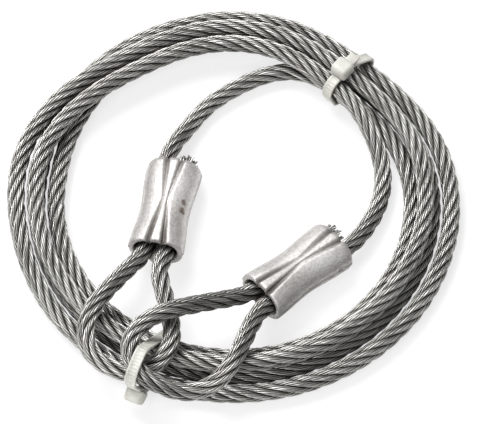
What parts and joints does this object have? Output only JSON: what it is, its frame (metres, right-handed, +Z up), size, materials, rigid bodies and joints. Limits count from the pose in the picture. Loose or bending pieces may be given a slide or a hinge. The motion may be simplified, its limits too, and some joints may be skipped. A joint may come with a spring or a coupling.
{
  "type": "wire rope sling",
  "caption": "Coiled galvanised wire rope sling with a soft eye and a pressed aluminium ferrule at each end, held in a coil by nylon cable ties.",
  "frame": {"origin": "the middle of the box round the whole sling, in the plane of the cable ties' undersides, on which the coil rests. The coil's own upright axis passes 2.8 mm to +Y of it", "axes": "+Z up through the coil; the first cable tie is at 50 degrees and the second at 247 degrees from +X towards +Y, and both ferrules lie inside the coil"},
  "size_m": [0.1478, 0.1524, 0.0276],
  "materials": {
    "galvanised_rope": "bright galvanised drawn wire",
    "pressed_aluminium": "satin, with pressing marks",
    "natural_nylon": "translucent off-white nylon"
  },
  "bodies": {
    "coil": {"coil_strand_1": "galvanised_rope", "coil_strand_2": "galvanised_rope", "coil_strand_3": "galvanised_rope", "coil_strand_4": "galvanised_rope", "coil_strand_5": "galvanised_rope", "coil_strand_6": "galvanised_rope", "coil_core_strand": "galvanised_rope", "cable_tie_2": "natural_nylon"},
    "end_a": {"end_a_strand_1": "galvanised_rope", "end_a_strand_2": "galvanised_rope", "end_a_strand_3": "galvanised_rope", "end_a_strand_4": "galvanised_rope", "end_a_strand_5": "galvanised_rope", "end_a_strand_6": "galvanised_rope", "end_a_core_strand": "galvanised_rope", "ferrule_a": "pressed_aluminium"},
    "end_b": {"end_b_strand_1": "galvanised_rope", "end_b_strand_2": "galvanised_rope", "end_b_strand_3": "galvanised_rope", "end_b_strand_4": "galvanised_rope", "end_b_strand_5": "galvanised_rope", "end_b_strand_6": "galvanised_rope", "end_b_core_strand": "galvanised_rope", "ferrule_b": "pressed_aluminium"},
    "tie_1": {"cable_tie_1": "natural_nylon"}
  },
  "joints": [
    {"name": "end_a_lift", "type": "hinge", "parent": "coil", "child": "end_a", "pos_m": [0.009, 0.05004, 0.0045], "axis": [0.3118, 0.9461, -0.0876], "range_deg": [0, 10]},
    {"name": "end_b_lift", "type": "hinge", "parent": "coil", "child": "end_b", "pos_m": [0.0463, 0.02314, 0.0073], "axis": [-0.6376, -0.7601, 0.1258], "range_deg": [0, 10]},
    {"name": "tie_1_shift", "type": "hinge", "parent": "coil", "child": "tie_1", "pos_m": [0, 0.00284, 0], "axis": [0, 0, 1], "range_deg": [-2.5, 2.5]}
  ]
}
